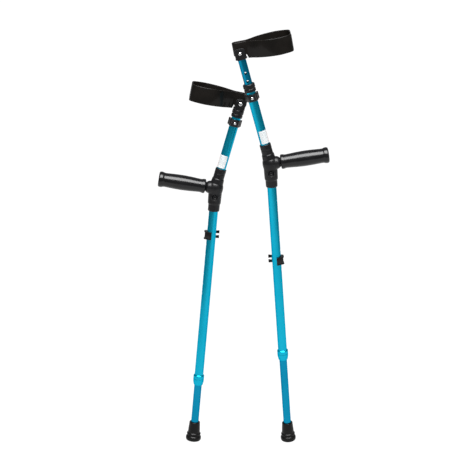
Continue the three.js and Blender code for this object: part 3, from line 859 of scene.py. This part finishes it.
def cuff(frames):
    """The cuff: its section swept along its mid-line, with a hole for the pivot through the neck."""
    line = cuff_line()
    lengths = [0.0]
    for a, b in zip(line, line[1:]):
        lengths.append(lengths[-1] + (b - a).length)
    bm = bmesh.new()
    rings = []
    for i, p in enumerate(line):
        ahead = line[min(i + 1, len(line) - 1)] - line[max(i - 1, 0)]
        across = Vector((-ahead.y, ahead.x)).normalized()
        section = cuff_section(*cuff_edges(p.x, min(lengths[i], lengths[-1] - lengths[i])))
        rings.append([bm.verts.new((p.x + across.x * t, p.y + across.y * t, z)) for t, z in section])
    for a, b in zip(rings, rings[1:]):
        for k in range(len(a)):
            n = (k + 1) % len(a)
            bm.faces.new((a[k], a[n], b[n], b[k]))
    bm.faces.new(rings[0])
    bm.faces.new(list(reversed(rings[-1])))
    body = from_bmesh(bm, "cuff", 50)
    boolean(body, moved(cylinder(PIVOT_HOLE_R, -30, 30, 32), turn(90, "X")), "DIFFERENCE")
    smooth(body, 50)
    return moved(body, frames["pivot"] @ Matrix.Rotation(CUFF_PITCH, 4, "Y"))


def pivot_bolt():
    """The pivot's rivet: a button head with a cross slot, lying along Z with its head up."""
    seat = PIVOT_SEAT
    body = lathe("bolt", fillet([
        (0, -15.2), (2.0, -15.2), (2.0, -10.9), (2.9, -9.9), (2.9, seat), (5.0, seat),
        (5.0, seat + 0.9), (3.6, seat + 2.1), (0, seat + 2.4),
    ], 0.4, 3), 40)
    slot = [(-2.6, -0.45), (2.6, -0.45), (2.6, 0.45), (-2.6, 0.45)]
    for angle in (20, 110):
        arm = plate("arm", slot, seat + 1.2, seat + 4)
        boolean(body, moved(arm, turn(angle, "Z")), "DIFFERENCE")
    smooth(body, 35)
    return body


def pivot_nut():
    """The rivet's other end, lying along Z."""
    seat = PIVOT_SEAT
    return lathe("nut", fillet([
        (2.3, seat), (3.8, seat), (3.8, seat + 0.9), (2.6, seat + 2.0), (0, seat + 2.2),
        (0, seat + 1.0), (2.3, seat + 1.0), (2.3, seat),
    ], 0.35, 3), 36)


def label(frames, side):
    """A thin sheet wrapped part of the way around the forearm section of the outer tube."""
    span = math.radians(116)
    middle = side * math.radians(68)
    columns, rows = 24, 16
    bm = bmesh.new()
    uv = bm.loops.layers.uv.new("UVMap")
    grid = []
    for i in range(columns + 1):
        u = i / columns
        a = middle + span * (u - 0.5) * -side
        # Rounded corners: the first and last columns are drawn in a little.
        inset = 1.2 * max(0.0, 1 - min(u, 1 - u) * columns / 1.5)
        column = []
        for j in range(rows + 1):
            v = j / rows
            z = LABEL_LOW + inset + (LABEL_HEIGHT - 2 * inset) * v
            corner = bm.verts.new((LABEL_R * math.cos(a), LABEL_R * math.sin(a), z))
            column.append((corner, (u, v)))
        grid.append(column)
    for i in range(columns):
        for j in range(rows):
            quad = [grid[i][j], grid[i + 1][j], grid[i + 1][j + 1], grid[i][j + 1]]
            face = bm.faces.new([q[0] for q in quad])
            for loop, q in zip(face.loops, quad):
                loop[uv].uv = q[1]
    obj = from_bmesh(bm, "label")
    mod = obj.modifiers.new("thickness", "SOLIDIFY")
    mod.thickness = LABEL_THICKNESS
    mod.offset = 1
    applied(obj)
    smooth(obj, 40)
    return moved(obj, frames["forearm"])


# ---------------------------------------------------------------- the two crutches

def small_lathe(profile, place, segments=48):
    return moved(lathe("small", profile, segments), place)


def bush(bore, radius, low, high, place):
    """A plain ring."""
    profile = [(bore, low), (radius, low), (radius, high), (bore, high), (bore, low)]
    return small_lathe(profile, place)


def disc(radius, low, high, edge, place):
    """A short rod or washer with rounded edges."""
    return small_lathe(fillet([(0, low), (radius, low), (radius, high), (0, high)], edge, 2), place)


def frame_pieces(piece, frames, side):
    """The tube with the handle: everything that stays on the frame."""
    lower, forearm, along_grip = frames["lower"], frames["forearm"], frames["grip"]
    piece(outer_tube(frames, side), "anodised_tube", "outer_tube_drawn", "frame", "outer_tube")
    low, high = OUTER_BOTTOM + 10, OUTER_BOTTOM + SWAGE_HEIGHT - 6.5
    piece(bush(OUTER_BORE, SWAGE_POCKET_R - GAP, low, high, lower),
          "nylon", "leg_bush_turned", "frame", "leg_bush")
    piece(bracket(frames, side), "moulded_plastic", "handle_bracket", "frame", "bracket")
    at_screw = lower @ shift(z=BRACKET_SCREW_AT)
    piece(moved(screw_head(15), at_screw @ turn(-90 * side, "X")),
          "moulded_plastic", "bracket_socket_screw", "frame", "bracket_screw")
    piece(moved(screw_head(16), at_screw @ turn(90 * side, "X")),
          "moulded_plastic", "bracket_barrel_nut", "frame", "bracket_nut")
    piece(grip(frames), "grip_plastic", "hand_grip", "frame", "grip")
    end = GRIP_START + GRIP_LENGTH
    plug = fillet([
        (0, end - 3.2), (9.6, end - 3.2), (9.6, end - 0.4), (8.2, end - 0.4), (7.6, end - 1.0),
        (0, end - 1.0),
    ], 0.4, 3)
    piece(small_lathe(plug, along_grip, 64), "moulded_plastic", "grip_end_plug", "frame", "grip_plug")
    piece(disc(GRIP_BORE - GAP, 12.5, 130.5, 0.6, along_grip),
          "steel", "grip_core_rod", "frame", "grip_rod")
    piece(collar(frames), "moulded_plastic", "locking_collar", "frame", "forearm_collar")
    piece(bush(OUTER_BORE, 12, OUTER_TOP + GAP, OUTER_TOP + 3.3, forearm),
          "nylon", "collar_collet", "frame", "forearm_collet")
    piece(label(frames, side), "label_paper", "blank_label", "frame", "label")


def clip_pieces(piece, frames, setting):
    """The two push-on clips and their pins."""
    side = setting["side"]
    at_leg_clip = frames["lower"] @ shift(z=-OUTER_HOLE_FIRST - setting["clip_hole"] * LEG_PITCH)
    piece(moved(leg_clip(side), at_leg_clip), "moulded_plastic", "leg_clip_moulded", "leg_clip", "leg_clip")
    pin = lathe("pin", fillet([(0, 6.1), (PIN_R, 6.1), (PIN_R, 15.1), (0, 15.1)], 0.6, 3), 28)
    piece(moved(pin, at_leg_clip @ turn(90, "Y")),
          "steel", "leg_clip_steel_pin", "leg_clip", "leg_pin")
    at_forearm_clip = frames["forearm"] @ shift(z=FOREARM_CLIP_AT)
    piece(moved(forearm_clip(side), at_forearm_clip),
          "moulded_plastic", "forearm_clip_moulded", "forearm_clip", "forearm_clip")
    piece(moved(headed_pin(), at_forearm_clip @ turn(-90 * side, "X")),
          "steel", "forearm_clip_steel_pin", "forearm_clip", "forearm_pin")


def leg_pieces(piece, frames):
    """The rubber tip and the leg tube that stands in it."""
    piece(tip(frames), "tip_rubber", "rubber_tip", "leg", "tip")
    piece(disc(9.3, TIP_FLOOR + GAP, TIP_FLOOR + 1.3, 0.2, frames["tip"]),
          "steel", "tip_steel_disc", "leg", "tip_disc")
    leg = sliding_tube(LEG_TUBE_LENGTH, LEG_HOLE_FIRST, LEG_PITCH, LEG_HOLE_COUNT, turn(90, "Y"), 0)
    piece(moved(leg, frames["tip"] @ shift(z=LEG_TUBE_SEAT + LEG_TUBE_LENGTH)),
          "anodised_tube", "leg_tube_drawn", "leg", "leg_tube", finish="anodised_inner_tube")


def forearm_pieces(piece, frames):
    """The tube above the collar, the knuckle on it and the cuff on its pivot."""
    pivot = frames["pivot"]
    tube = sliding_tube(FOREARM_TUBE_LENGTH, FOREARM_HOLE_FIRST, FOREARM_PITCH, FOREARM_HOLE_COUNT,
                        turn(90, "X"), -2 * INNER_R)
    piece(moved(tube, pivot @ shift(z=FOREARM_TUBE_TOP)),
          "anodised_tube", "forearm_tube_drawn", "forearm", "forearm_tube", finish="anodised_inner_tube")
    piece(knuckle(frames), "moulded_plastic", "cuff_knuckle", "forearm", "knuckle")
    across = pivot @ turn(-90, "X")
    piece(moved(pivot_bolt(), across), "steel", "cuff_pivot_bolt", "forearm", "pivot_bolt")
    piece(moved(pivot_nut(), pivot @ turn(90, "X")), "steel", "cuff_pivot_nut", "forearm", "pivot_nut")
    piece(bush(PIVOT_HOLE_R, 6, -6, 6, across), "nylon", "cuff_pivot_spacer", "forearm", "pivot_spacer")
    piece(cuff(frames), "cuff_vinyl", "arm_cuff", "cuff", "cuff")


def make_crutch(name, setting):
    frames = crutch_frames(name)

    def piece(obj, slot, own_name, on, node, finish=None):
        dressed(obj, slot, f"{name}_{own_name}", f"{name}_{on}", f"{name}_{node}", finish)

    frame_pieces(piece, frames, setting["side"])
    clip_pieces(piece, frames, setting)
    leg_pieces(piece, frames)
    forearm_pieces(piece, frames)


for crutch, crutch_setting in SETTINGS.items():
    make_crutch(crutch, crutch_setting)


# ---------------------------------------------------------------- floor and light

STAGE_FRONT, STAGE_BEND, STAGE_RADIUS, STAGE_HALF_WIDTH = -2.0, 2.2, 1.6, 2.6


def backdrop():
    """A pale floor that sweeps up into a low wall behind, in one curve."""
    profile = [(STAGE_FRONT, 0)]
    profile += [(STAGE_BEND + x, STAGE_RADIUS + z) for x, z in arc(STAGE_RADIUS, -90, 0, 16)]
    bm = bmesh.new()
    left, right = [
        [bm.verts.new((x, y, z)) for y, z in profile] for x in (-STAGE_HALF_WIDTH, STAGE_HALF_WIDTH)
    ]
    for k in range(len(profile) - 1):
        bm.faces.new((left[k], right[k], right[k + 1], left[k + 1]))
    obj = from_bmesh(bm, "backdrop", 60)
    n = Nodes("pale_backdrop")
    obj.data.materials.append(n.finish(
        Base_Color=n.ramp(n.noise(0.6, 2), [(0.3, (0.05, 0.05, 0.05)), (0.7, (0.06, 0.06, 0.06))]),
        Roughness=0.95,
        Specular_IOR_Level=0.0,
        Emission_Color=(1, 1, 1, 1),
        Emission_Strength=1.0,
    ))


def softbox(name, place, target, size, power):
    light = bpy.data.lights.new(name, "AREA")
    light.shape = "RECTANGLE"
    light.size, light.size_y = size
    light.energy = power
    obj = bpy.data.objects.new(name, light)
    bpy.context.scene.collection.objects.link(obj)
    obj.location = place
    obj.rotation_euler = (Vector(target) - Vector(place)).to_track_quat("-Z", "Y").to_euler()


def studio_world(strength):
    world = bpy.data.worlds.new("studio")
    world.use_nodes = True
    inputs = world.node_tree.nodes["Background"].inputs
    inputs["Color"].default_value = (1, 1, 1, 1)
    inputs["Strength"].default_value = strength
    bpy.context.scene.world = world


backdrop()
studio_world(0.28)
softbox("overhead", (0, -1.1, 2.65), (0, 0, 0.7), (2.6, 1.7), 205)
bpy.context.scene.view_settings.view_transform = "Standard"
